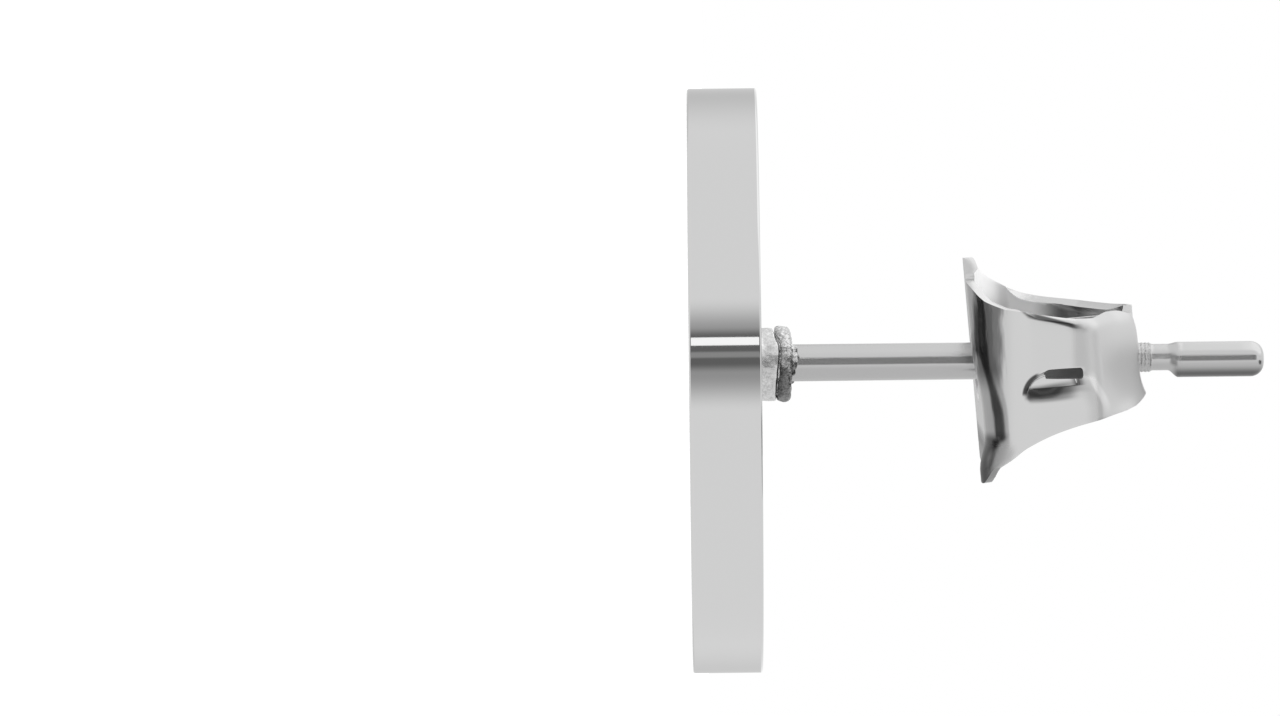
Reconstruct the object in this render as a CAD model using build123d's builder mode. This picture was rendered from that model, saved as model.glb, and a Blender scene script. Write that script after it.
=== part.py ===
from build123d import *

import os
from math import cos, radians, sin, sqrt

# Stud earring: a flat round steel disc with a post welded on its back, and a butterfly ear nut.
# Sizes are in millimetres. The origin is the centre of the disc's front face, which lies on the
# ground. +Z runs along the post, and +Y is the side of the disc that the post stands nearer to.

# Disc
disc_diameter = 12.0
disc_thickness = 1.42
front_edge_radius = 0.04
back_edge_radius = 0.13

# Weld: solder on the disc's back, a pad on the solder, and a collar around the foot of the post
solder_diameter = 1.5
solder_height = 0.33
pad_diameter = 1.6
pad_height = 0.33
pad_edge_radius = 0.13
collar_width = 0.1
collar_height = 0.17

# Post: a round wire that stands a little off the disc's centre
post_offset = 0.35
post_diameter = 0.76
post_length = 10.35
tip_edge_radius = 0.26

# Groove near the post's end, cut slightly off the post's axis and a little conical
neck_diameter = 0.54
neck_near_diameter = 0.58
neck_offset = 0.04
neck_length = 0.32
neck_near_ramp = 0.4
neck_far_ramp = 0.2
neck_to_tip = 1.95

# Ear nut: the bent sheet, seen along its bends
sheet = 0.18
plate_length = 5.96
plate_bend_radius = 0.95
arm_height = 2.35
arm_inset = 0.52
arm_bend_radius = 0.6
roof_rise = 1.3
turn_radius = 0.36
leg_length = 2.36
leg_clearance = 0.03

# Ear nut: widths across the strip
plate_width = 4.52
plate_end_width = 4.04
arm_foot_width = 3.92
waist_width = 1.96
waist_height = 2.6
post_hole_diameter = 1.3

# Taper from the arm's foot to its waist: two pull points, each with its share of the waist's
# height and the share of the foot's extra width that is left there
low_pull, low_width = 0.25, 0.48
high_pull, high_width = 0.5, 0.1

# Dimple pressed into each arm, below a slit
dimple_radius = 0.62
dimple_depth = 0.3
dimple_height = 1.45
slit_offset = 0.13
slit_width = 0.2

# Place of the ear nut: the middle of its plate seen from the disc's back, and its lean
nut_distance = 4.44
nut_drop = 0.22
nut_lean = 4.6

# Places that follow from the sizes
post_radius = post_diameter / 2
solder_top = disc_thickness + solder_height
pad_top = solder_top + pad_height
collar_top = pad_top + collar_height
tip_height = disc_thickness + post_length
neck_top = tip_height - neck_to_tip
half_plate = plate_length / 2
leg_reach = post_radius + leg_clearance
nut_top = arm_height + roof_rise

with BuildPart() as disc_and_post:
    # Disc, with its front face down
    with BuildSketch(Plane.XY):
        Circle(disc_diameter / 2)
    extrude(amount=disc_thickness)
    fillet(disc_and_post.edges().sort_by(Axis.Z)[0], front_edge_radius)
    fillet(disc_and_post.edges().sort_by(Axis.Z)[-1], back_edge_radius)

    # Solder, pad, collar, post and tip, turned about the post's axis
    with BuildSketch(Plane.YZ) as post_section:
        with BuildLine():
            Polyline(
                (post_offset, disc_thickness / 2),
                (post_offset + solder_diameter / 2, disc_thickness / 2),
                (post_offset + solder_diameter / 2, solder_top),
                (post_offset + pad_diameter / 2, solder_top),
                (post_offset + pad_diameter / 2, pad_top),
                (post_offset + post_radius + collar_width, pad_top),
                (post_offset + post_radius, collar_top),
                (post_offset + post_radius, tip_height),
                (post_offset, tip_height),
                close=True,
            )
        make_face()
        fillet(post_section.vertices().group_by(Axis.X)[-1].sort_by(Axis.Y)[-1], pad_edge_radius)
        fillet(post_section.vertices().group_by(Axis.Y)[-1].sort_by(Axis.X)[-1], tip_edge_radius)
    revolve(axis=Axis((0, post_offset, 0), (0, 0, 1)))

    # Groove, turned about an axis just beside the post's
    neck_axis = post_offset + neck_offset
    neck_rim = neck_axis + post_radius + neck_offset
    with BuildSketch(Plane.YZ):
        with BuildLine():
            Polyline(
                (neck_axis + neck_diameter / 2, neck_top),
                (neck_axis + neck_near_diameter / 2, neck_top - neck_length),
                (neck_rim, neck_top - neck_length - neck_near_ramp),
                (neck_rim, neck_top + neck_far_ramp),
                close=True,
            )
        make_face()
    revolve(axis=Axis((0, neck_axis, 0), (0, 0, 1)), mode=Mode.SUBTRACT)

disc_and_post.part.label = "disc_and_post"

# The ear nut's own frame: Z away from the disc, X towards the arms
nut_frame = Plane(
    origin=(0, post_offset - nut_drop, disc_thickness + nut_distance),
    x_dir=(1, 0, 0),
    z_dir=(0, sin(radians(nut_lean)), cos(radians(nut_lean))),
)
bend_plane = Plane(nut_frame.origin, x_dir=nut_frame.x_dir, z_dir=-nut_frame.y_dir)
side_plane = Plane(nut_frame.origin, x_dir=nut_frame.y_dir, z_dir=nut_frame.x_dir)

# The dimple's frame: on the arm's outer face, X up the arm and Y towards the dimple
dimple_plane = Plane(
    origin=nut_frame.from_local_coords(
        (half_plate - arm_inset * dimple_height / arm_height, slit_offset, dimple_height)
    ),
    x_dir=nut_frame.z_dir * arm_height - nut_frame.x_dir * arm_inset,
    z_dir=nut_frame.x_dir * arm_height + nut_frame.z_dir * arm_inset,
)
dimple_section = Plane(
    dimple_plane.origin, x_dir=dimple_plane.x_dir, z_dir=-dimple_plane.y_dir
)
dimple_axis = Axis(dimple_plane.origin, dimple_plane.z_dir)
bowl_radius = (dimple_radius**2 + dimple_depth**2) / (2 * dimple_depth)
bowl_reach = sqrt((bowl_radius + sheet) ** 2 - (bowl_radius - dimple_depth) ** 2)

# The bent sheet's outer corners, and beside them the corners of its inner side
outer_corners = [
    Vector(0, 0),
    Vector(half_plate, 0),
    Vector(half_plate - arm_inset, arm_height),
    Vector(leg_reach, nut_top),
    Vector(leg_reach, nut_top - leg_length),
]
runs = [(b - a).normalized() for a, b in zip(outer_corners, outer_corners[1:])]
inward = [Vector(-run.Y, run.X) for run in runs]
inner_corners = [outer_corners[0] + inward[0] * sheet]
for corner, before, after in zip(outer_corners[1:], inward, inward[1:]):
    inner_corners.append(corner + (before + after) * (sheet / (1 + before.dot(after))))
inner_corners.append(outer_corners[-1] + inward[-1] * sheet)
outer_radii = [plate_bend_radius, arm_bend_radius, turn_radius]
inner_radii = [radius - sheet for radius in outer_radii]

with BuildPart() as ear_nut:
    # Plate, arm, roof and inner leg on one side: the bent sheet
    with BuildSketch(bend_plane):
        with BuildLine():
            FilletPolyline(*outer_corners, radius=outer_radii)
            FilletPolyline(*inner_corners, radius=inner_radii)
            Line(outer_corners[0], inner_corners[0])
            Line(outer_corners[-1], inner_corners[-1])
        make_face()
    extrude(amount=plate_width / 2, both=True)

    # The arms' outline from the side, as wide as the plate at its foot and waisted above
    with BuildSketch(side_plane):
        with BuildLine():
            foot, waist = arm_foot_width / 2, waist_width / 2
            Polyline((0, -sheet), (plate_width / 2, -sheet), (plate_width / 2, sheet), (foot, sheet))
            Bezier(
                (foot, sheet),
                (waist + low_width * (foot - waist), low_pull * waist_height),
                (waist + high_width * (foot - waist), high_pull * waist_height),
                (waist, waist_height),
            )
            Polyline((waist, waist_height), (waist, nut_top), (0, nut_top))
            mirror(about=Plane.YZ)
        make_face()
    extrude(amount=plate_length, both=True, mode=Mode.INTERSECT)

    # The plate's outline from the front, with bowed sides
    with BuildSketch(nut_frame):
        with BuildLine():
            end, middle = plate_end_width / 2, plate_width / 2
            ThreePointArc((-half_plate, end), (0, middle), (half_plate, end))
            Line((half_plate, end), (half_plate, -end))
            ThreePointArc((half_plate, -end), (0, -middle), (-half_plate, -end))
            Line((-half_plate, -end), (-half_plate, end))
        make_face()
    extrude(amount=nut_top, both=True, mode=Mode.INTERSECT)

    # Dimple: the sheet below the slit is pressed in as half a bowl
    with BuildSketch(dimple_section):
        with BuildLine():
            TangentArc((0, -dimple_depth), (dimple_radius, 0), tangent=(1, 0))
            Polyline(
                (dimple_radius, 0), (dimple_radius, sheet), (0, sheet), (0, -dimple_depth)
            )
        make_face()
    revolve(axis=dimple_axis, revolution_arc=180, mode=Mode.SUBTRACT)
    with BuildSketch(dimple_section):
        with BuildLine():
            TangentArc((0, -dimple_depth), (dimple_radius, 0), tangent=(1, 0))
            Line((dimple_radius, 0), (bowl_reach, 0))
            TangentArc((0, -dimple_depth - sheet), (bowl_reach, 0), tangent=(1, 0))
            Line((0, -dimple_depth - sheet), (0, -dimple_depth))
        make_face()
    revolve(axis=dimple_axis, revolution_arc=180)
    with BuildSketch(dimple_plane):
        Rectangle(2 * dimple_radius, slit_width, align=(Align.CENTER, Align.MIN))
    extrude(amount=dimple_depth + sheet, both=True, mode=Mode.SUBTRACT)

    # The other side, and the hole for the post
    mirror(about=Plane.YZ)
    with BuildSketch(nut_frame):
        Circle(post_hole_diameter / 2)
    extrude(amount=sheet, both=True, mode=Mode.SUBTRACT)

ear_nut.part.label = "ear_nut"

os.makedirs("parts", exist_ok=True)
export_step(disc_and_post.part, "parts/disc_and_post.step")
export_step(ear_nut.part, "parts/ear_nut.step")
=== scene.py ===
from math import ceil, cos, exp, radians, sin, sqrt, tan

import bmesh
import bpy
from mathutils import Matrix, Vector


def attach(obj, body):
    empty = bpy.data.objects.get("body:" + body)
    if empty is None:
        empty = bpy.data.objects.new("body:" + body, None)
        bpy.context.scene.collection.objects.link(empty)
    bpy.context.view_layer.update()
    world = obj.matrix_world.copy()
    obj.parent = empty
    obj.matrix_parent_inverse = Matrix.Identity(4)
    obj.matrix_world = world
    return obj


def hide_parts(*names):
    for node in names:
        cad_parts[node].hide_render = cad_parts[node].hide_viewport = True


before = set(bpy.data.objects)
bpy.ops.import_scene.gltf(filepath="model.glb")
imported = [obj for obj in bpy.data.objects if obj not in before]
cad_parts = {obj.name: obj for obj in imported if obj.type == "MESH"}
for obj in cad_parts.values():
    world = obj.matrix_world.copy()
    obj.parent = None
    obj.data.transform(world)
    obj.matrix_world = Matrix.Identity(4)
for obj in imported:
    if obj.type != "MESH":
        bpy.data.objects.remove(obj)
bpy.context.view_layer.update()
print("frame loaded")

mm = 0.001  # pieces are modelled in millimetres and brought to metres at the end
tiny = 0.0001  # a length that counts as none, in millimetres
smoothUnder = 35  # degrees between faces that are shaded as one


# Modelling helpers

def fade(value, low, high):  # 0 up to low, 1 from high on, and smooth between
    share = min(max((value - low) / (high - low), 0), 1)
    return share * share * (3 - 2 * share)


def between(value, low, high, edge):  # 1 from low to high, fading out over edge on both sides
    return fade(value, low - edge, low) * (1 - fade(value, high, high + edge))


def readTable(rows, place):  # straight lines between the rows, by their first column
    for before, after in zip(rows, rows[1:]):
        if before[0] <= place <= after[0]:
            share = (place - before[0]) / (after[0] - before[0])
            return [a + share * (b - a) for a, b in zip(before, after)]
    return None


def activate(piece, *others):  # selects these alone, with the first one active
    bpy.ops.object.select_all(action="DESELECT")
    for chosen in (piece, *others):
        chosen.select_set(True)
    bpy.context.view_layer.objects.active = piece


def addPrimitive(add, name, **settings):
    bpy.ops.object.select_all(action="DESELECT")
    add(**settings)
    piece = bpy.context.active_object
    piece.name = name
    return piece


def pick(piece, kind, test):  # in edit mode, selects the verts, edges or faces that pass the test
    modes = {"verts": "VERT", "edges": "EDGE", "faces": "FACE"}
    bpy.ops.mesh.select_mode(type=modes[kind])
    bpy.ops.mesh.select_all(action="DESELECT")
    mesh = bmesh.from_edit_mesh(piece.data)
    for element in getattr(mesh, kind):
        if test(element):
            element.select_set(True)
    mesh.select_flush_mode()
    bmesh.update_edit_mesh(piece.data)


def finishWith(piece, kind, **settings):
    bpy.context.view_layer.objects.active = piece
    modifier = piece.modifiers.new(kind.lower(), kind)
    for name, value in settings.items():
        setattr(modifier, name, value)
    bpy.ops.object.modifier_apply(modifier=modifier.name)


def joinTo(piece, other):
    activate(piece, other)
    bpy.ops.object.join()


def press(piece, depthAt, direction="NORMAL", texture=None):  # sinks each place by depthAt(place)
    depths = [depthAt(vert.co) for vert in piece.data.vertices]
    for sign in (1, -1):  # sunk places, then raised ones, because no weight is below 0
        most = max(sign * depth for depth in depths)
        if most < tiny / 100:
            continue
        group = piece.vertex_groups.new(name="press")
        for index, depth in enumerate(depths):
            if sign * depth > 0:
                group.add([index], sign * depth / most, "REPLACE")
        finishWith(
            piece, "DISPLACE", direction=direction, mid_level=0 if texture is None else 0.5,
            strength=-sign * most, vertex_group="press", texture=texture,
        )
        piece.vertex_groups.clear()


def cloud(name, size):
    texture = bpy.data.textures.new(name, "CLOUDS")
    texture.noise_scale = size
    texture.noise_depth = 1
    return texture


def placePiece(piece, body, node, smooth=smoothUnder):  # to metres, with no transform left
    activate(piece)
    piece.scale = (mm, mm, mm)
    piece.location = piece.location * mm
    bpy.ops.object.transform_apply(location=True, rotation=True, scale=True)
    if smooth:
        bpy.ops.object.shade_smooth_by_angle(angle=radians(smooth))
    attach(piece, body)
    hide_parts(node)


# Shader helpers

def newNode(tree, kind, sockets=None, **settings):
    node = tree.nodes.new(kind)
    for name, value in settings.items():
        setattr(node, name, value)
    for socket, value in (sockets or {}).items():
        if isinstance(value, bpy.types.NodeSocket):
            tree.links.new(value, node.inputs[socket])
        else:
            node.inputs[socket].default_value = value
    return node


def calc(tree, operation, a, b=0.0):
    return newNode(tree, "ShaderNodeMath", {0: a, 1: b}, operation=operation).outputs[0]


def remap(tree, value, lowIn, highIn, lowOut=0.0, highOut=1.0, easing="LINEAR"):
    sockets = {0: value, 1: lowIn, 2: highIn, 3: lowOut, 4: highOut}
    return newNode(tree, "ShaderNodeMapRange", sockets, interpolation_type=easing).outputs[0]


def mix(tree, mask, a, b):
    return newNode(tree, "ShaderNodeMix", {0: mask, 2: a, 3: b}, data_type="FLOAT").outputs[0]


def grey(tree, value):  # a value as a colour
    return newNode(tree, "ShaderNodeCombineColor", {0: value, 1: value, 2: value}).outputs[0]


# Camera: beside the disc, just above the floor, with the post running to the right

camera = {
    "side": 4.25,  # degrees towards +Y
    "distance": 120 * mm,
    "lens": 164.2,
    "sensor": 36,
    "clip": (1 * mm, 2),
    "aim": (0, 0.487 * mm, -1.03 * mm),
    "height": 0.4 * mm,
    "roll": 0.7,
}


def buildCamera():
    side = radians(camera["side"])
    aim = Vector(camera["aim"])
    place = aim + camera["distance"] * Vector((-cos(side), sin(side), 0))
    place.z = camera["height"]
    back = (place - aim).normalized()
    right = Vector((0, 1, 0)).cross(back).normalized()
    right = Matrix.Rotation(radians(-camera["roll"]), 3, back) @ right
    up = back.cross(right)
    lens = bpy.data.cameras.new("camera")
    lens.lens = camera["lens"]
    lens.sensor_width = camera["sensor"]
    lens.clip_start, lens.clip_end = camera["clip"]
    holder = bpy.data.objects.new("camera", lens)
    turned = Matrix((right, up, back)).transposed().to_4x4()
    holder.matrix_world = Matrix.Translation(place) @ turned
    bpy.context.collection.objects.link(holder)
    bpy.context.scene.camera = holder
    print("camera placed")


# Studio: white walls all round, with a dark slit behind the camera and a strip light in it.
# Angles are in degrees round the vertical, from the camera towards +Y.

studio = {
    "walls": 1.0,
    "zones": (  # light, angles, soft edge, sines of the heights, soft ends
        (0.43, (-12, 33), 15, (-0.62, 0.62), (0.18, 0.18)),  # grey boards beside the slit
        (0.17, (3, 21), 4, (-0.62, 0.62), (0.18, 0.18)),  # dark slit
        (0.37, (8.6, 11.8), 1, (-0.62, 0.62), (0.18, 0.18)),  # faint strip in it
        (0.68, (112, 260), 45, (-0.5, 0.012), (0.1, 0.03)),  # wall behind, a little darker
        (0.68, (-260, -122), 50, (-0.5, 0.012), (0.1, 0.03)),
        (1.46, (13.7, 17.0), 0.2, (-0.15, 0.15), (0.05, 0.05)),  # strip light
        (1.35, (50, 150), 20, (0.15, 0.9), (0.12, 0.1)),  # overhead
        (0.1, (-150, -22), 12, (0.925, 0.985), (0.02, 0.01)),  # dark cap
    ),
}


def studioZone(tree, azimuth, height, lit, zone):  # blends one zone's light over what is lit so far
    light, (left, right), edge, (low, high), (softLow, softHigh) = zone
    masks = [
        remap(tree, azimuth, left, left + edge, easing="SMOOTHSTEP"),
        remap(tree, azimuth, right - edge, right, 1.0, 0.0, easing="SMOOTHSTEP"),
        remap(tree, height, low - softLow, low, easing="SMOOTHSTEP"),
        remap(tree, height, high, high + softHigh, 1.0, 0.0, easing="SMOOTHSTEP"),
    ]
    mask = masks[0]
    for other in masks[1:]:
        mask = calc(tree, "MULTIPLY", mask, other)
    return mix(tree, mask, lit, light)


def buildStudio():
    world = bpy.data.worlds.new("studio")
    bpy.context.scene.world = world
    world.use_nodes = True
    tree = world.node_tree
    tree.nodes.clear()
    direction = newNode(tree, "ShaderNodeTexCoord").outputs["Generated"]
    turned = newNode(
        tree, "ShaderNodeVectorRotate", {"Vector": direction, "Angle": radians(camera["side"])},
        rotation_type="Z_AXIS",
    ).outputs[0]
    parts = newNode(tree, "ShaderNodeSeparateXYZ", {0: turned})
    ahead = calc(tree, "MULTIPLY", parts.outputs["X"], -1.0)
    azimuth = calc(tree, "DEGREES", calc(tree, "ARCTAN2", parts.outputs["Y"], ahead))
    height = parts.outputs["Z"]
    lit = studio["walls"]
    for zone in studio["zones"]:
        lit = studioZone(tree, azimuth, height, lit, zone)
    seen = newNode(tree, "ShaderNodeLightPath").outputs["Is Camera Ray"]
    shown = mix(tree, seen, lit, 1.0)
    light = newNode(tree, "ShaderNodeBackground", {"Color": shown, "Strength": 1.0})
    newNode(tree, "ShaderNodeOutputWorld", {0: light.outputs[0]})
    bpy.context.scene.view_settings.view_transform = "Standard"
    print("studio lit")


# Floor: pale for the eye, and left out of what the steel mirrors

floor = {
    "size": 0.8,
    "drop": 0.01 * mm,
    "paint": 0.7,
    "glow": 0.5,
}


def buildFloor():
    piece = addPrimitive(
        bpy.ops.mesh.primitive_plane_add, "floor", size=floor["size"],
        location=(0, 0, -floor["drop"]),
    )
    bpy.ops.object.transform_apply(location=True)
    material = bpy.data.materials.new("floor_paint")
    material.use_nodes = True
    tree = material.node_tree
    shader = tree.nodes["Principled BSDF"]
    paint = floor["paint"]
    shader.inputs["Base Color"].default_value = (paint, paint, paint, 1)
    shader.inputs["Roughness"].default_value = 1
    shader.inputs["Specular IOR Level"].default_value = 0
    shader.inputs["Emission Color"].default_value = (1, 1, 1, 1)
    shader.inputs["Emission Strength"].default_value = floor["glow"]
    mirrored = newNode(tree, "ShaderNodeLightPath").outputs["Is Glossy Ray"]
    clear = newNode(tree, "ShaderNodeBsdfTransparent")
    mixed = newNode(
        tree, "ShaderNodeMixShader", {0: mirrored, 1: shader.outputs[0], 2: clear.outputs[0]},
    )
    tree.links.new(mixed.outputs[0], tree.nodes["Material Output"].inputs[0])
    piece.data.materials.append(material)
    print("floor laid")


# Steel

def steel(name, colour, roughness):
    material = bpy.data.materials.new(name)
    material.use_nodes = True
    shader = material.node_tree.nodes["Principled BSDF"]
    shader.inputs["Base Color"].default_value = (colour, colour, colour, 1)
    shader.inputs["Metallic"].default_value = 1.0
    shader.inputs["Roughness"].default_value = roughness
    return material


def objectPlace(tree):
    place = newNode(tree, "ShaderNodeTexCoord").outputs["Object"]
    return place, newNode(tree, "ShaderNodeSeparateXYZ", {0: place}).outputs


def soft(tree, value, low, high, lowOut=0.0, highOut=1.0):  # eased between two places in mm
    return remap(tree, value, low * mm, high * mm, lowOut, highOut, "SMOOTHSTEP")


def ramp(tree, value, low, high, lowOut=0.0, highOut=1.0):  # the same in a straight line
    return remap(tree, value, low * mm, high * mm, lowOut, highOut)


def product(tree, first, *others):
    for other in others:
        first = calc(tree, "MULTIPLY", first, other)
    return first


def grainGroup():  # noise drawn out along one or two axes, for the lines and grit of all steel
    group = bpy.data.node_groups.get("steel grain")
    if group:
        return group
    group = bpy.data.node_groups.new("steel grain", "ShaderNodeTree")
    inputs = {"Place": "Vector", "Stretch": "Vector", "Scale": "Float", "Detail": "Float"}
    for name, kind in inputs.items():
        group.interface.new_socket(name=name, in_out="INPUT", socket_type="NodeSocket" + kind)
    group.interface.new_socket(name="Grain", in_out="OUTPUT", socket_type="NodeSocketFloat")
    given = newNode(group, "NodeGroupInput").outputs
    stretched = newNode(
        group, "ShaderNodeVectorMath", {0: given["Place"], 1: given["Stretch"]},
        operation="MULTIPLY",
    )
    sockets = {"Vector": stretched.outputs[0], "Scale": given["Scale"], "Detail": given["Detail"]}
    noise = newNode(group, "ShaderNodeTexNoise", sockets)
    newNode(group, "NodeGroupOutput", {"Grain": noise.outputs[0]})
    return group


def grain(tree, place, look):
    sockets = {
        "Place": place, "Stretch": look["stretch"], "Scale": look["scale"],
        "Detail": look["detail"],
    }
    return newNode(tree, "ShaderNodeGroup", sockets, node_tree=grainGroup()).outputs["Grain"]


def relief(tree, place, look):  # grain as a height
    return calc(tree, "MULTIPLY", grain(tree, place, look), look["depth"] * mm)


def dress(material, colour, height=None, roughness=None):
    tree = material.node_tree
    shader = tree.nodes["Principled BSDF"]
    tree.links.new(grey(tree, colour), shader.inputs["Base Color"])
    if roughness is not None:
        tree.links.new(roughness, shader.inputs["Roughness"])
    if height is not None:
        sockets = {"Height": height, "Strength": 1.0, "Distance": 1.0}
        bump = newNode(tree, "ShaderNodeBump", sockets)
        tree.links.new(bump.outputs[0], shader.inputs["Normal"])


# Disc

disc = {
    "radius": 6.0,
    "thickness": 1.42,
    "edges": ((-1, 0.04, 3), (1, 0.05, 4)),  # front and back: side, radius and steps
    "facets": 512,
    "rings": 3,  # on both flat faces, so that no face is a 512-cornered one
    "ringWidth": 1.8,
    "colour": 0.62,
    "rough": 0.03,
}


def buildDisc():
    half = disc["thickness"] / 2
    piece = addPrimitive(
        bpy.ops.mesh.primitive_cylinder_add, "disc", vertices=disc["facets"],
        radius=disc["radius"], depth=disc["thickness"], location=(0, 0, half),
    )
    bpy.ops.object.mode_set(mode="EDIT")
    for side, radius, steps in disc["edges"]:
        pick(piece, "edges", lambda edge: all(
            side * vert.co.z > half - tiny for vert in edge.verts))
        bpy.ops.mesh.bevel(offset=radius, segments=steps, profile=0.5, affect="EDGES")
    for side in (-1, 1):
        pick(piece, "faces", lambda face: (
            side * face.normal.z > 0 and len(face.verts) == disc["facets"]))
        for ring in range(disc["rings"]):
            bpy.ops.mesh.inset(thickness=disc["ringWidth"])
        bpy.ops.mesh.poke()
    bpy.ops.object.mode_set(mode="OBJECT")
    bpy.ops.object.shade_smooth_by_angle(angle=radians(smoothUnder))
    finishWith(piece, "WEIGHTED_NORMAL", keep_sharp=True)
    piece.data.materials.append(steel("disc_steel", disc["colour"], disc["rough"]))
    placePiece(piece, "stud", "disc_and_post", smooth=None)
    print("disc made")


# Post: a round wire with a rough ring and a groove near its end

post = {
    "offset": 0.35,
    "radius": 0.38,
    "foot": 1.9,
    "end": 11.77,
    "endRadius": 0.27,
    "endSteps": 12,
    "facets": 160,
    "rungs": (  # first height, spacing and count
        (2.2, 0.3, 23), (9.1, 0.014, 26), (9.47, 0.028, 20), (10.06, 0.24, 7),
    ),
    "flat": (7.75, 11),  # degrees towards +Y from -X, and half its width
    "flatOnTip": (9.82, 0.7),  # from this height on, and the share of the width
    "ringRise": (9.12, 9.17),  # heights where the wire narrows to the ring,
    "ringFall": (9.41, 9.49),  # from the ring to the neck,
    "tipRise": (9.8, 10.02),  # and widens to the tip
    "ringRadius": 0.3,
    "ridges": (0.006, 0.075),  # of the ring: height and spacing
    "neckRadius": 0.272,
    "neckShift": 0.035,
    "tipRadius": 0.364,
    "tipShift": -0.018,
}

postFinish = {
    # The wire's lower side is painted darker as shade, and the tip's lower side darker still as a
    # painted dark reflection
    "upper": 0.56,
    "lower": 0.44,
    "tipPaintedReflection": 0.12,
    "side": (-0.12, 0.02),  # along +Y from the middle, where lower passes into upper
    "under": (-0.1, -0.3),  # the same for the tip's lower side, where a dark reflection is painted
    "tip": (9.85, 10.0),  # heights where each part starts and ends
    "neck": (9.05, 9.15),
    "neckEnd": (10.12, 9.98),
    "ring": (9.11, 9.16),
    "ringEnd": (9.46, 9.42),
    "rough": 0.19,
    "neckRough": 0.3,
    "drawn": {"stretch": (1, 1, 0.02), "scale": 30000, "detail": 3, "depth": 0.0012},
    "dents": {"stretch": (1, 1, 0.5), "scale": 7000, "detail": 2, "depth": 0.012},
    "grit": {"stretch": (1, 1, 1.6), "scale": 16000, "detail": 4, "depth": 0.035},
}


def postRing(height):  # the wire's radius and how far it stands off its axis, at one height
    radius, shift = post["radius"], 0
    ringStart, tipStart = post["ringRise"][0], post["tipRise"][1]
    if ringStart <= height <= tipStart:
        down = fade(height, *post["ringRise"])
        narrow = fade(height, *post["ringFall"])
        up = fade(height, *post["tipRise"])
        ridge, spacing = post["ridges"]
        inner = post["ringRadius"] + narrow * (post["neckRadius"] - post["ringRadius"])
        inner += ridge * cos(radians(360 * (height - ringStart) / spacing)) * (1 - narrow)
        radius += down * (inner - radius) + up * (post["tipRadius"] - inner)
        shift = post["neckShift"] * down * (1 - up) + post["tipShift"] * up
    elif height > tipStart:
        radius, shift = post["tipRadius"], post["tipShift"]
    into = height - (post["end"] - post["endRadius"])
    if into > 0:
        radius -= post["endRadius"] - sqrt(max(post["endRadius"] ** 2 - into ** 2, 0))
    return radius, shift


def wireFlat(place):  # how far the drawn wire is flattened along one line
    middle, half = post["flat"]
    tipStart, share = post["flatOnTip"]
    if place.z > tipStart:
        half *= share
    out = Vector((place.x, place.y - post["offset"] - postRing(place.z)[1]))
    if out.length < 100 * tiny:
        return 0
    aside = abs(out.angle(Vector((-cos(radians(middle)), sin(radians(middle))))))
    return max(0, out.length * (1 - cos(radians(half)) / cos(min(aside, radians(half)))))


def postSteel():
    look = postFinish
    material = steel("post_steel", look["upper"], look["rough"])
    tree = material.node_tree
    place, parts = objectPlace(tree)
    across, along = parts["Y"], parts["Z"]

    def fromMiddle(pair, *out):
        return soft(tree, across, post["offset"] + pair[0], post["offset"] + pair[1], *out)

    # painted shade on the lower side, and a painted dark reflection under the tip
    upper = fromMiddle(look["side"], look["lower"], look["upper"])
    onTip = soft(tree, along, *look["tip"])
    under = product(tree, onTip, fromMiddle(look["under"]))
    shown = mix(tree, under, upper, look["tipPaintedReflection"])
    onNeck = product(tree, soft(tree, along, *look["neck"]), soft(tree, along, *look["neckEnd"]))
    onRing = product(tree, soft(tree, along, *look["ring"]), soft(tree, along, *look["ringEnd"]))
    rough = mix(tree, onNeck, look["rough"], look["neckRough"])
    drawn, dents, grit = (relief(tree, place, look[name]) for name in ("drawn", "dents", "grit"))
    dress(material, shown, mix(tree, onRing, mix(tree, onNeck, drawn, dents), grit), rough)
    return material


def buildPost():
    heights = [
        first + spacing * step for first, spacing, count in post["rungs"] for step in range(count)
    ]
    tipEnd, steps = post["end"] - post["endRadius"], post["endSteps"]
    heights += [
        tipEnd + post["endRadius"] * sin(radians(90 * step / steps)) for step in range(1, steps)
    ]
    piece = addPrimitive(
        bpy.ops.mesh.primitive_circle_add, "post", vertices=post["facets"], radius=post["radius"],
        location=(0, post["offset"], post["foot"]),
    )
    bpy.ops.object.transform_apply(location=True)
    bpy.ops.object.mode_set(mode="EDIT")
    pick(piece, "edges", lambda edge: True)
    last, lastRadius, lastShift = post["foot"], post["radius"], 0
    for height in heights:
        radius, shift = postRing(height)
        rise = {"value": (0, shift - lastShift, height - last)}
        bpy.ops.mesh.extrude_region_move(TRANSFORM_OT_translate=rise)
        ratio = radius / lastRadius
        centre = (0, post["offset"] + shift, height)
        bpy.ops.transform.resize(value=(ratio, ratio, 1), center_override=centre)
        last, lastRadius, lastShift = height, radius, shift
    bpy.ops.mesh.edge_face_add()
    bpy.ops.mesh.poke()
    pick(piece, "verts", lambda vert: vert.co.z < post["foot"] + tiny)
    bpy.ops.mesh.edge_face_add()
    bpy.ops.mesh.select_all(action="SELECT")
    bpy.ops.mesh.normals_make_consistent(inside=False)
    bpy.ops.object.mode_set(mode="OBJECT")
    press(piece, wireFlat)
    piece.data.materials.append(postSteel())
    placePiece(piece, "stud", "disc_and_post")
    print("post made")


# Weld: solder on the disc's back, a rough pad on it and lumps round the foot of the post

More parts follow.
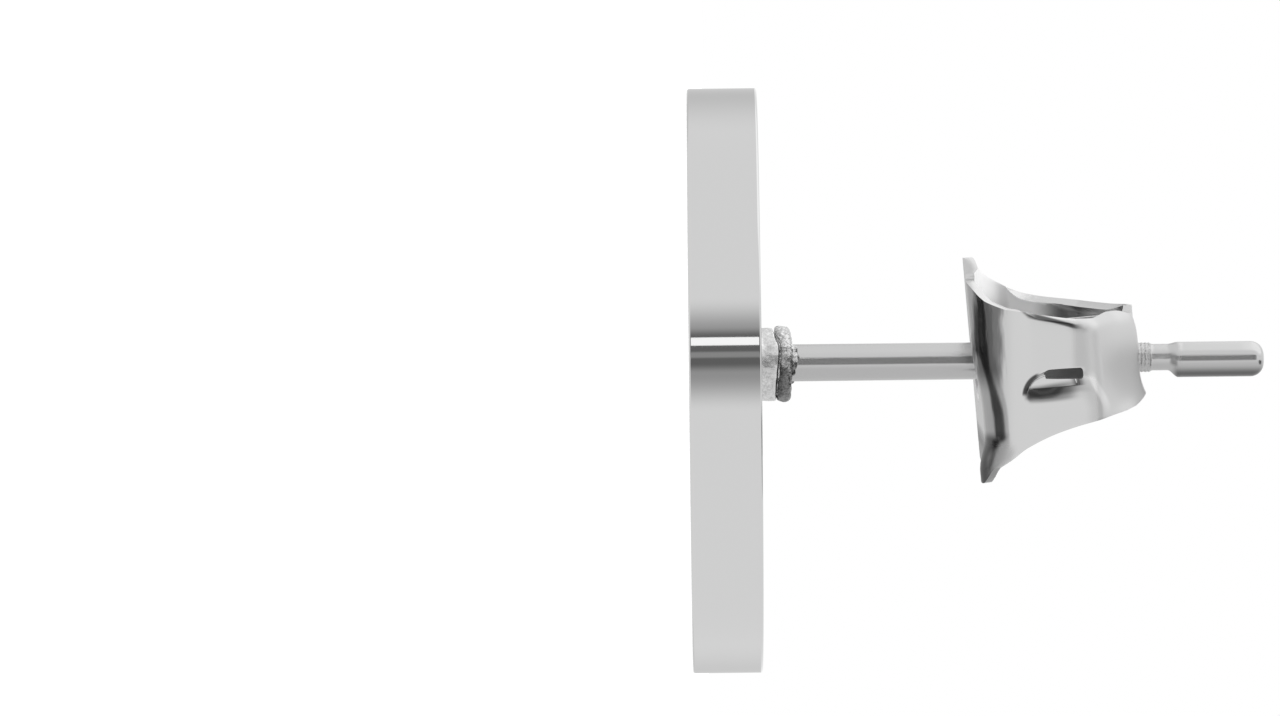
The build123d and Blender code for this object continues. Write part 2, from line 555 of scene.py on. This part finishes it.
weld = {
    "centre": (0, 0.33),
    "solder": {"radius": 0.745, "bottom": 1.3, "top": 1.82},
    "groove": {"radius": 0.66, "bottom": 1.7, "top": 1.95},
    "pad": {"radius": 0.77, "bottom": 1.86, "top": 2.09},
    "padEdge": (0.09, 4),  # radius and steps
    "facets": 96,
    "lean": 0.9,  # how far along +Y the next table reaches either way
    "droop": (  # along +Y from the centre, how far the pad leans to the disc there
        (-0.9, 0.08), (-0.5, 0.075), (-0.27, 0.06), (0.07, 0.015), (0.3, 0.0), (0.47, 0.03),
        (0.58, 0.08), (0.76, 0.14), (0.9, 0.15),
    ),
    "droopOnTop": 0.4,  # share of it that the pad's top has
    "lumps": (  # sideways, along +Y, height, radius
        (-0.3, 0.32, 2.1, 0.12), (-0.37, 0.15, 2.13, 0.12), (-0.39, 0.0, 2.11, 0.1),
        (-0.36, -0.14, 2.09, 0.09), (0.3, 0.27, 2.09, 0.11), (0.4, 0.02, 2.08, 0.1),
        (0.2, -0.33, 2.07, 0.09),
    ),
    "lumpCuts": 3,
    "skin": 0.016,  # size of the facets
    "smoothing": {"factor": 0.5, "iterations": 3},
    "smooth": 60,  # degrees between faces that are shaded as one
    "waveFade": (-0.02, 0.08),  # from the disc's back, where the solder's waves start and are full
    "solderWaves": (0.04, 0.25),  # depth and size
    "padWaves": (0.07, 0.2),
    "padGrit": (0.02, 0.06),
}

weldFinish = {
    # The lower side of solder and pad is painted darker as shade, the pad's most
    "solder": {"upper": 0.68, "lower": 0.6, "specks": 0.15, "depth": 0.003},
    "pad": {"upper": 0.66, "lower": 0.17, "specks": 0.45, "depth": 0.012},
    "rough": 0.25,
    "side": (0.3, 0.75),  # along +Y from the centre, where lower passes into upper
    "blotches": {"stretch": (1, 1, 1), "scale": 5000, "detail": 2, "depth": 0.9},
    "grains": {"stretch": (1, 1, 1), "scale": 22000, "detail": 3},
    "specks": (0.35, 0.6, 1.08),  # grain where they are darkest and brightest, and how bright
}


def weldDroop(place):
    along = min(max(place.y - weld["centre"][1], -weld["lean"]), weld["lean"])
    down = readTable(weld["droop"], along)[1]
    pad = weld["pad"]
    onTop = (1 - weld["droopOnTop"]) * fade(place.z, pad["bottom"], pad["top"])
    return down * fade(place.z, disc["thickness"], pad["bottom"]) * (1 - onTop)


def weldSteel(name, look):
    material = steel(name, look["upper"], weldFinish["rough"])
    tree = material.node_tree
    place, parts = objectPlace(tree)
    middle = weld["centre"][1]
    low, high = weldFinish["side"]
    # painted shade: darker on the lower side, along a blotchy edge
    edge = calc(tree, "ADD", parts["Y"], relief(tree, place, weldFinish["blotches"]))
    upper = soft(tree, edge, middle + low, middle + high)
    grains = grain(tree, place, weldFinish["grains"])
    darkest, brightest, most = weldFinish["specks"]
    specks = remap(tree, grains, darkest, brightest, 1 - look["specks"], most)
    shown = product(tree, mix(tree, upper, look["lower"], look["upper"]), specks)
    dress(material, shown, calc(tree, "MULTIPLY", grains, look["depth"] * mm))
    return material


def weldDrum(name, sizes):
    x, y = weld["centre"]
    piece = addPrimitive(
        bpy.ops.mesh.primitive_cylinder_add, name, vertices=weld["facets"],
        radius=sizes["radius"], depth=sizes["top"] - sizes["bottom"],
        location=(x, y, (sizes["top"] + sizes["bottom"]) / 2),
    )
    bpy.ops.object.transform_apply(location=True)
    return piece


def melt(piece):  # makes what overlaps one skin, smooths it and lets it lean
    finishWith(piece, "REMESH", mode="VOXEL", voxel_size=weld["skin"])
    finishWith(piece, "SMOOTH", **weld["smoothing"])
    press(piece, weldDroop, direction="Z")


def buildWeld():
    x, y = weld["centre"]
    solder = weldDrum("solder", weld["solder"])
    joinTo(solder, weldDrum("groove", weld["groove"]))
    melt(solder)
    depth, size = weld["solderWaves"]
    press(
        solder, lambda place: depth * fade(place.z - disc["thickness"], *weld["waveFade"]),
        texture=cloud("solder waves", size),
    )
    solder.data.materials.append(weldSteel("solder_steel", weldFinish["solder"]))
    placePiece(solder, "stud", "disc_and_post", weld["smooth"])

    piece = weldDrum("weld", weld["pad"])
    radius, steps = weld["padEdge"]
    finishWith(piece, "BEVEL", width=radius, segments=steps, limit_method="ANGLE")
    for side, along, height, radius in weld["lumps"]:
        bpy.ops.mesh.primitive_ico_sphere_add(
            subdivisions=weld["lumpCuts"], radius=radius,
            location=(x + side, y + along, height),
        )
        joinTo(piece, bpy.context.active_object)
    melt(piece)
    for name in ("padWaves", "padGrit"):
        depth, size = weld[name]
        press(piece, lambda place: depth, texture=cloud(name, size))
    piece.data.materials.append(weldSteel("weld_steel", weldFinish["pad"]))
    placePiece(piece, "stud", "disc_and_post", weld["smooth"])
    print("weld made")


# Ear nut: a bent strip of sheet

nutFinish = {
    "outside": 0.62,
    "inside": 0.95,
    "paintedPocketShade": 0.2,  # painted shade where the strip folds in on itself
    # painted shade on the slits' cut walls
    "slit": 0.16,
    "wallRough": 0.09,
    "roofRough": 0.4,
    "bendRough": 0.16,
    "cornerRough": 0.33,
    "insideRough": 0.4,
    "edgeRough": 0.15,
    "lowCornerShade": 0.4,  # share of the colour that is left at the lower corners, as painted shade
    "left": {  # the same under each mark on the outside, where shade and dark reflections are painted, and more than all on the ridge, where a highlight is painted
        "crease": 0.3, "tail": 0.12, "corner": 0.25, "band": 0.33, "beside": 0.84,
        "edgeLine": 0.2, "foot": 0.84, "ridge": 1.22,
    },
    "drawn": {"stretch": (1, 0.12, 1), "scale": 9000, "detail": 3, "depth": 0.008},
    "waves": {"stretch": (1, 1, 0.4), "scale": 1200, "detail": 1, "depth": 0.003},
    "jags": {"stretch": (1, 0.08, 1), "scale": 14000, "detail": 3},
    "burr": {"stretch": (1, 1, 0.6), "scale": 16000, "detail": 3, "depth": 0.005},
}

# Where the marks lie on the strip, in millimetres along the post and up, which is along +Y.
# Each pair is where a mark ends and where it is full, or the other way round.

# Apart from roughness and drawn lines, these marks are painted shade and dark reflections, with a
# painted highlight on the ridge
nutMarks = {
    "roof": {"along": (8.05, 8.3), "sooner": (0.1, 0.35, 0, 0.45)},
    "bend": (6.75, 6.3),
    "roughCorner": {"along": (6.6, 6.4), "up": (-0.95, -1.35)},
    "crease": {
        "line": (6.8, 7.85, -0.125, 0.02), "width": (0.17, 0.06), "start": (6.68, 6.8),
        "end": (8.3, 7.2),
    },
    "tail": {  # a quarter of a ring round the dimple's low end
        "along": (7.1, 0.38), "up": (-0.174, 0.425), "width": (0.18, 0.07), "end": (7.05, 6.93),
        "start": (-0.2, -0.1),
    },
    "corner": {"line": (-1.5, -0.8, 5.8, 6.22), "width": (0.31, 0.13), "up": (-0.88, -1.1)},
    "band": {"middle": 6.02, "jags": 0.22, "width": (0.34, 0.18), "up": (-0.2, 0.4)},
    "ridgeLine": (-0.5, 0.35, 8.31, 7.97),
    "beside": {"far": (0.4, 0.1), "near": (-0.03, 0.03), "up": (0.15, -0.15)},
    "ridge": {"middle": -0.09, "width": (0.12, 0.03), "top": (0.35, 0.15), "low": (-0.65, -0.2)},
    "foot": (6.55, 6.15),
    "edgeLine": {
        "line": (6.8, 7.765, 1.49, 1.21), "width": (0.065, 0.02), "start": (6.72, 7.0),
        "end": (7.95, 7.65),
    },
    "drawn": {"along": (6.5, 6.0), "up": (0.2, 1.0, 0.15, 1.0)},
    # painted shade deep in the fold and on the legs seen through the slits
    "paintedPocketShade": {"start": (7.1, 7.8), "end": (8.0, 8.4, 1.0, 0.65)},  # from here on, on the inside
    "leg": {"aside": (1.2, 0.8), "along": (6.4, 6.5)},
    # painted shade towards the lower corners, on the inside and on the edges
    "lowInside": (-1.2, -1.7),
    "lowEdge": (-0.9, -1.5),
}


def nutOutside():
    material = steel("nut_outside", nutFinish["outside"], nutFinish["wallRough"])
    tree = material.node_tree
    place, parts = objectPlace(tree)
    along, up = parts["Z"], parts["Y"]
    marks = nutMarks

    def within(value, centre, width):  # full at the centre, and gone beyond the width
        return soft(tree, calc(tree, "ABSOLUTE", calc(tree, "SUBTRACT", value, centre)), *width)

    def line(value, start, end, startOut, endOut, easing="LINEAR"):
        ends = [number * mm for number in (start, end, startOut, endOut)]
        return remap(tree, value, *ends, easing)

    # Rougher roof and bends
    upAlong = calc(tree, "ADD", along, line(up, *marks["roof"]["sooner"], "SMOOTHSTEP"))
    onRoof = soft(tree, upAlong, *marks["roof"]["along"])
    rough = mix(tree, onRoof, nutFinish["wallRough"], nutFinish["roofRough"])
    rough = mix(tree, soft(tree, along, *marks["bend"]), rough, nutFinish["bendRough"])
    corner = marks["roughCorner"]
    atCorner = product(tree, soft(tree, along, *corner["along"]), soft(tree, up, *corner["up"]))
    rough = mix(tree, atCorner, rough, nutFinish["cornerRough"])

    # Painted shade and dark reflections: in the dimple's crease and round its low end, at the foot
    # and its lower corner, on the bend, under the upper edge and beside the roof's bend; and a
    # painted highlight on the ridge
    masks = {"foot": soft(tree, along, *marks["foot"])}
    for name in ("crease", "edgeLine"):
        mark = marks[name]
        masks[name] = product(
            tree, within(up, line(along, *mark["line"]), mark["width"]),
            soft(tree, along, *mark["start"]), soft(tree, along, *mark["end"]),
        )
    mark = marks["tail"]
    rounds = []
    for value, (centre, reach) in ((along, mark["along"]), (up, mark["up"])):
        off = calc(tree, "SUBTRACT", value, centre * mm)
        off = calc(tree, "MULTIPLY", off, 1 / (reach * mm))
        rounds.append(calc(tree, "MULTIPLY", off, off))
    fromTail = calc(tree, "SUBTRACT", calc(tree, "SQRT", calc(tree, "ADD", *rounds)), 1.0)
    masks["tail"] = product(
        tree, remap(tree, calc(tree, "ABSOLUTE", fromTail), *mark["width"], easing="SMOOTHSTEP"),
        soft(tree, along, *mark["end"]), soft(tree, up, *mark["start"]),
    )
    mark = marks["corner"]
    curl = line(up, *mark["line"], "SMOOTHSTEP")
    masks["corner"] = product(
        tree, within(along, curl, mark["width"]), soft(tree, up, *mark["up"]),
    )
    mark = marks["band"]
    jags = calc(tree, "SUBTRACT", grain(tree, place, nutFinish["jags"]), 0.5)
    jagged = calc(tree, "ADD", along, calc(tree, "MULTIPLY", jags, mark["jags"] * mm))
    masks["band"] = product(
        tree, within(jagged, mark["middle"] * mm, mark["width"]), soft(tree, up, *mark["up"]),
    )
    ridge = line(up, *marks["ridgeLine"], "SMOOTHSTEP")
    fromRidge = calc(tree, "SUBTRACT", ridge, along)
    mark = marks["beside"]
    masks["beside"] = product(
        tree, soft(tree, fromRidge, *mark["far"]), soft(tree, fromRidge, *mark["near"]),
        soft(tree, up, *mark["up"]),
    )
    # painted highlight on the ridge
    mark = marks["ridge"]
    masks["ridge"] = product(
        tree, within(fromRidge, mark["middle"] * mm, mark["width"]),
        soft(tree, up, *mark["top"]), soft(tree, up, *mark["low"]),
    )
    # Each mark darkens the colour as painted shade or a painted dark reflection, and the ridge
    # lightens it as a painted highlight
    shown = nutFinish["outside"]
    for name, left in nutFinish["left"].items():
        shown = product(tree, shown, remap(tree, masks[name], 0.0, 1.0, 1.0, left))

    # Drawn lines on the bend by the plate, and shallow waves
    mark = marks["drawn"]
    drawn = product(
        tree, soft(tree, along, *mark["along"]), soft(tree, up, *mark["up"]),
        relief(tree, place, nutFinish["drawn"]),
    )
    waves = relief(tree, place, nutFinish["waves"])
    dress(material, shown, calc(tree, "ADD", drawn, waves), rough)
    return material


def nutInside():
    material = steel("nut_inside", nutFinish["inside"], nutFinish["insideRough"])
    tree = material.node_tree
    parts = objectPlace(tree)[1]
    paintedPocketShade, leg = nutMarks["paintedPocketShade"], nutMarks["leg"]
    # Painted shade deep in the fold and on the legs behind the slits
    deep = product(
        tree, soft(tree, parts["Z"], *paintedPocketShade["start"]), soft(tree, parts["Z"], *paintedPocketShade["end"]),
    )
    onLeg = product(
        tree, soft(tree, calc(tree, "ABSOLUTE", parts["X"]), *leg["aside"]),
        ramp(tree, parts["Z"], *leg["along"]),
    )
    paintedShade = calc(tree, "MAXIMUM", deep, onLeg)
    shown = mix(tree, paintedShade, nutFinish["inside"], nutFinish["paintedPocketShade"])
    # painted shade towards the lower corners
    left = ramp(tree, parts["Y"], *nutMarks["lowInside"], 1.0, nutFinish["lowCornerShade"])
    dress(material, product(tree, shown, left))
    return material


def nutEdge():
    material = steel("nut_edge", nutFinish["outside"], nutFinish["edgeRough"])
    tree = material.node_tree
    place, parts = objectPlace(tree)
    # painted shade towards the lower corners
    left = ramp(tree, parts["Y"], *nutMarks["lowEdge"], 1.0, nutFinish["lowCornerShade"])
    shown = product(tree, left, nutFinish["outside"])
    dress(material, shown, relief(tree, place, nutFinish["burr"]))
    return material


earNut = {
    "sheet": 0.18,
    "halfPlate": 2.98,
    "armHeight": 2.35,
    "armInset": 0.52,
    "roofRise": 1.3,
    "legReach": 0.41,
    "legLength": 2.36,
    "bends": (0.95, 0.6, 0.36),
    "steps": (0.09, 0.036),  # length of the facets on straight runs and on bends
    "rows": 36,
    "plateMiddle": 2.26,  # half widths across the strip
    "plateEnd": 2.0,
    "foot": 2.06,
    "waist": 0.94,
    "waistFade": 0.95,
    "legNarrower": 0.14,
    "legStart": (0.5, 0.8),  # from the middle, where the leg is as narrow and where the arm ends
    "turnFade": 0.5,
    "holeRadius": 0.65,
    "holeFacets": 96,
    "edge": (0.075, 4),  # radius and steps
    "edgeAngle": 60,  # degrees, and only sharper edges are rounded
    "smooth": 40,  # degrees between faces that are shaded as one
    "centre": (0, 0.16, 5.86),
    "lean": 4.6,
    "turn": 1.7,  # about the post
}

# The upper edge of each arm, which curls outwards at its foot and inwards above.
# Each curl has its reach from the edge, its slope and the heights where it is full.

edgeCurls = {
    "foot": {"reach": 0.9, "slope": 0.1, "heights": (0.3, 0.85, 0.25)},
    "arm": {"reach": 0.07, "slope": 0.8, "heights": (1.3, 1.75, 0.4)},
    "roof": {"reach": 0.25, "slope": 0.9, "heights": (2.2, 3.0, 0.4), "aside": (0.7, 1.2)},
    "nearest": (0.6, 0.02),  # distance from the middle, and height, where the curls start
}

# The arm that faces the camera, with what handwork did to it. Pairs are where each thing starts
# and where it is full: aside from the middle, across the strip and up the arm.

nearArm = {
    "flare": 0.15,  # how far its foot turns towards the disc
    "cornerFlare": 0.2,  # and its lower corner
    "flareAside": (1.2, 2.2),
    "flareUp": (0.15, 0.9),
    "flareAcross": (-0.7, 0.7),
    "cornerAcross": (1.15, 1.85),
    "upperCut": (  # height up the arm, cut at the upper edge
        (-0.3, 0), (0, 0), (0.2, 0.06), (0.6, 0.045), (1.1, -0.06), (1.55, -0.062),
        (1.95, -0.047), (2.37, -0.056), (2.85, -0.115), (3.15, -0.095), (3.36, 0.02), (3.7, 0.03),
    ),
    "lowerCut": (  # the same at the lower edge
        (-0.3, -0.14), (-0.19, -0.18), (-0.11, -0.19), (-0.03, -0.13), (0.05, -0.04), (0.13, 0),
        (0.4, 0), (0.8, 0.045), (1.7, 0.052), (2.35, 0.066), (2.75, 0.089), (3.0, 0.123),
        (3.15, 0.174), (3.27, 0.23), (3.36, 0.29), (3.7, 0.23),
    ),
    "start": 0.05,  # farther than this from the middle
    "edges": (0.3, 1),  # share of the half width from which the cuts count
    "cutAside": (0.6, 1.2),
    "legUp": 1,  # above this height the leg is as narrow as the turn above it
    "footUp": 0.1,  # and below this one only the foot is longer, and not the plate
    "footAside": (1.5, 2.3),
    "plateCut": 0.14,  # at the lower edge of the plate and of the other foot
    "plateAside": (-2.7, -1.7),
    "plateAcross": (1.2, 1.9),
    "twist": (0.052, -0.03, -0.095, 0.217),  # how far the roof is pushed down across it
    "twistAside": (0.1, 0.3),
    "twistEnd": (1.3, 2.4),
    "twistUp": (1.0, 2.4),
}

dimple = {
    "wall": 1.5,  # farther than this from the middle
    "heights": (0.7, 2.3),
    "low": (0.84, 0.96),  # where it fades in
    "high": (1.7, 2.15),  # and out
    "crease": (-0.175, -0.04, 0.95),  # place across, and how it climbs from which height on
    "reach": (0.22, 0.33),  # below the crease, where the gentle slope has grown and where it starts
    "gentle": (0.135, 0.2),  # that slope where it has grown and at the crease
    "gentler": (1.3, 2.0, 0.6),  # heights between which it loses this share
    "steep": 0.45,
    "top": (  # height up the arm, place across it where the pressed part ends
        (0.7, -0.45), (0.85, -0.35), (0.9, -0.2), (0.95, -0.12), (1.0, -0.065), (1.05, -0.02),
        (1.1, 0.01), (1.2, 0.05), (1.3, 0.08), (2.3, 0.08),
    ),
    "topFade": (-0.05, 0.08),
    "fine": (0.7, 2.24, -0.62, 0.27),  # the part that is cut finer: heights, places across
    "finest": 4,
    "slit": (  # height up the arm, place across it
        (1.29, 0.05), (1.29, 0.17), (1.6, 0.16), (1.95, 0.14), (2.06, 0.13), (2.06, -0.09),
        (1.95, -0.088), (1.6, -0.06), (1.35, -0.03), (1.29, -0.02),
    ),
    "blade": (1.8, 1.4),  # where the slit's cutter starts, and its length
}


def bentLine(corners, radii, steps):  # points along straight runs joined by arcs, all turning left
    points = [corners[0]]

    def runTo(end):
        start = points[-1]
        count = ceil((end - start).length / steps[0])
        points.extend(start.lerp(end, k / count) for k in range(1, count + 1))

    for before, corner, after, radius in zip(corners, corners[1:], corners[2:], radii):
        runIn, runOut = (corner - before).normalized(), (after - corner).normalized()
        turn = runIn.angle(runOut)
        start = corner - runIn * radius * tan(turn / 2)
        centre = start + radius * Vector((-runIn.y, runIn.x))
        runTo(start)
        count = ceil(turn * radius / steps[1])
        for k in range(1, count + 1):
            points.append(centre + Matrix.Rotation(turn * k / count, 2) @ (start - centre))
    runTo(corners[-1])
    return points


def nutHalfWidth(place):  # place is (across the arms, height)
    nut = earNut
    if place.y < tiny:
        share = (place.x / nut["halfPlate"]) ** 2
        return nut["plateMiddle"] + (nut["plateEnd"] - nut["plateMiddle"]) * share
    onArm = nut["waist"] + (nut["foot"] - nut["waist"]) * exp(-place.y / nut["waistFade"])
    fromTop = nut["armHeight"] + nut["roofRise"] - place.y
    inLeg = (1 - fade(place.x, *nut["legStart"])) * fade(fromTop, 0, nut["turnFade"])
    return onArm - nut["legNarrower"] * inLeg


def fromMiddle(place):
    return nutHalfWidth(Vector((place.x, place.z)))


def dimpleDepth(place):
    lowest, highest = dimple["heights"]
    if place.x < dimple["wall"] or not lowest < place.z < highest:
        return 0
    base, climb, start = dimple["crease"]
    crease = base + climb * (place.z - start)
    grown, start = dimple["reach"]
    first, last = dimple["gentle"]
    below = min(max(crease - place.y, 0), start)
    depth = first * (start - max(below, grown)) ** 2 / (2 * (start - grown))
    rise = max(grown - below, 0)
    depth += first * rise + (last - first) / grown * rise * rise / 2
    low, high, lost = dimple["gentler"]
    depth *= 1 - lost * fade(place.z, low, high)
    top = readTable(dimple["top"], place.z)[1]
    depth += dimple["steep"] * max(min(place.y, top) - crease, 0)
    depth *= fade(place.z, *dimple["low"]) * (1 - fade(place.z, *dimple["high"]))
    return depth * (1 - fade(place.y - top, *dimple["topFade"]))


def nearDimple(place):  # on the finely cut part of an arm
    low, high, left, right = dimple["fine"]
    return abs(place.x) > dimple["wall"] and low < place.z < high and left < place.y < right


def roundedOutline(points, times=2):  # cuts every corner of a closed outline
    for time in range(times):
        pairs = list(zip(points, points[1:] + points[:1]))
        points = [a.lerp(b, share) for a, b in pairs for share in (0.25, 0.75)]
    return points


def buildCutters():  # the post's hole and both slits, as one solid
    drill = addPrimitive(
        bpy.ops.mesh.primitive_cylinder_add, "drill", vertices=earNut["holeFacets"],
        radius=earNut["holeRadius"], depth=1,
    )
    drill.data.materials.append(bpy.data.materials["nut_inside"])
    outline = roundedOutline([Vector(point) for point in dimple["slit"]])
    start, length = dimple["blade"]
    for side in (-1, 1):
        bpy.ops.mesh.primitive_circle_add(vertices=len(outline), radius=1, fill_type="NGON")
        blade = bpy.context.active_object
        for vert, point in zip(blade.data.vertices, outline):
            vert.co = (side * start, point.y, point.x)
        bpy.ops.object.mode_set(mode="EDIT")
        pick(blade, "faces", lambda face: True)
        outwards = {"value": (side * length, 0, 0)}
        bpy.ops.mesh.extrude_region_move(TRANSFORM_OT_translate=outwards)
        pick(blade, "faces", lambda face: True)
        bpy.ops.mesh.normals_make_consistent(inside=False)
        bpy.ops.object.mode_set(mode="OBJECT")
        blade.data.materials.append(bpy.data.materials["nut_slit_painted_shade"])
        joinTo(drill, blade)
    return drill


def nearFlare(place):
    arm = nearArm
    turned = arm["flare"] * fade(place.y, *arm["flareAcross"])
    turned += arm["cornerFlare"] * fade(-place.y, *arm["cornerAcross"])
    return turned * fade(-place.x, *arm["flareAside"]) * (1 - fade(place.z, *arm["flareUp"]))


def upperEdgeCurl(place):
    aside, height = edgeCurls["nearest"]
    if place.x < aside or place.z < height:
        return 0
    fromEdge = fromMiddle(place) - place.y
    foot, arm, roof = (edgeCurls[name] for name in ("foot", "arm", "roof"))

    def curl(part, power):  # a straight slope for 1, and a round one for 2
        past = max(0, part["reach"] - fromEdge)
        bent = past ** power / (power * part["reach"] ** (power - 1))
        return bent * part["slope"] * between(place.z, *part["heights"])

    return curl(arm, 1) + curl(roof, 2) * fade(place.x, *roof["aside"]) - curl(foot, 2)


def nearEdgeCut(place):
    arm = nearArm
    plateCut = arm["plateCut"] * fade(place.x, *arm["plateAside"])
    plateCut *= fade(-place.y, *arm["plateAcross"])
    if -place.x < arm["start"]:
        return -plateCut
    table = arm["lowerCut"]
    height = min(max(place.z, table[0][0]), table[-1][0])
    share = place.y / fromMiddle(place)
    upper = readTable(arm["upperCut"], height)[1] * fade(-place.x, *arm["cutAside"])
    lower = readTable(table, height)[1]
    if height < arm["footUp"]:
        lower *= fade(-place.x, *arm["footAside"])
    if -place.x < arm["cutAside"][0] and height > arm["legUp"]:
        lower = table[-1][1]
    return upper * fade(share, *arm["edges"]) - lower * fade(-share, *arm["edges"]) - plateCut


def nearRoofTwist(place):
    arm = nearArm
    down = sum(factor * place.y ** power for power, factor in enumerate(arm["twist"]))
    down *= fade(-place.x, *arm["twistAside"]) * (1 - fade(-place.x, *arm["twistEnd"]))
    return down * fade(place.z, *arm["twistUp"])


def nutCorners():  # the bent sheet's corners, seen along its bends
    nut = earNut
    top = nut["armHeight"] + nut["roofRise"]
    return [Vector(corner) for corner in (
        (0, 0), (nut["halfPlate"], 0), (nut["halfPlate"] - nut["armInset"], nut["armHeight"]),
        (nut["legReach"], top), (nut["legReach"], top - nut["legLength"]),
    )]


def bendStrip():  # one half of the sheet, pulled out along its bends step by step and narrowed
    line = bentLine(nutCorners(), earNut["bends"], earNut["steps"])
    piece = addPrimitive(
        bpy.ops.mesh.primitive_grid_add, "nut_strip", x_subdivisions=1,
        y_subdivisions=earNut["rows"], size=2,
    )
    centre = (0, 0, 0)
    bpy.ops.object.mode_set(mode="EDIT")
    pick(piece, "verts", lambda vert: vert.co.x > 0)
    bpy.ops.transform.translate(value=(line[1].x - 1, 0, 0))
    pick(piece, "verts", lambda vert: vert.co.x < 0)
    bpy.ops.transform.translate(value=(1, 0, 0))
    pick(piece, "verts", lambda vert: True)
    width = nutHalfWidth(line[0])
    bpy.ops.transform.resize(value=(1, width, 1), center_override=centre)
    pick(piece, "verts", lambda vert: vert.co.x > tiny)
    narrowest = width
    for before, after in zip(line[1:], line[2:]):
        rise = {"value": (after.x - before.x, 0, after.y - before.y)}
        bpy.ops.mesh.extrude_region_move(TRANSFORM_OT_translate=rise)
        narrowest = min(narrowest, nutHalfWidth(after))
        bpy.ops.transform.resize(value=(1, narrowest / width, 1), center_override=centre)
        width = narrowest
    pick(piece, "faces", lambda face: True)
    bpy.ops.mesh.normals_make_consistent(inside=False)
    mesh = bmesh.from_edit_mesh(piece.data)
    plate = min(mesh.faces, key=lambda face: face.calc_center_median().z)
    if plate.normal.z > 0:
        bpy.ops.mesh.flip_normals()
    pick(piece, "faces", lambda face: nearDimple(face.calc_center_median()))
    bpy.ops.mesh.subdivide(number_cuts=dimple["finest"])
    bpy.ops.object.mode_set(mode="OBJECT")
    return piece


def buildEarNut():
    nut = earNut
    piece = bendStrip()
    press(piece, dimpleDepth)
    press(piece, upperEdgeCurl)
    # the slits' walls are painted dark, as shade
    slit = steel("nut_slit_painted_shade", nutFinish["slit"], nutFinish["insideRough"])
    for material in (nutOutside(), nutInside(), nutEdge(), slit):
        piece.data.materials.append(material)

    # Both sides, the near arm's own shape, the sheet's thickness, the hole and the slits
    finishWith(piece, "MIRROR", use_axis=(True, False, False), merge_threshold=tiny)
    press(piece, nearFlare, direction="Z")
    press(piece, nearEdgeCut, direction="Y")
    press(piece, nearRoofTwist, direction="Z")
    finishWith(
        piece, "SOLIDIFY", thickness=nut["sheet"], offset=-1, use_even_offset=True,
        material_offset=1, material_offset_rim=2,
    )
    cutters = buildCutters()
    finishWith(piece, "BOOLEAN", object=cutters, operation="DIFFERENCE", solver="MANIFOLD")
    bpy.data.objects.remove(cutters)

    # Rounded edges, apart from the dimple's
    activate(piece)
    bpy.ops.object.mode_set(mode="EDIT")
    pick(piece, "edges", lambda edge: (
        len(edge.link_faces) == 2 and edge.calc_face_angle() > radians(nut["edgeAngle"])
        and not all(nearDimple(vert.co) for vert in edge.verts)))
    radius, steps = nut["edge"]
    bpy.ops.mesh.bevel(
        offset=radius, segments=steps, profile=0.5, affect="EDGES", clamp_overlap=True,
    )
    bpy.ops.object.mode_set(mode="OBJECT")
    piece.rotation_euler = (-radians(nut["lean"]), 0, radians(nut["turn"]))
    piece.location = nut["centre"]
    placePiece(piece, "nut", "ear_nut", nut["smooth"])
    print("ear nut made:", len(piece.data.polygons), "faces")


buildCamera()
buildStudio()
buildFloor()
buildDisc()
buildPost()
buildWeld()
buildEarNut()
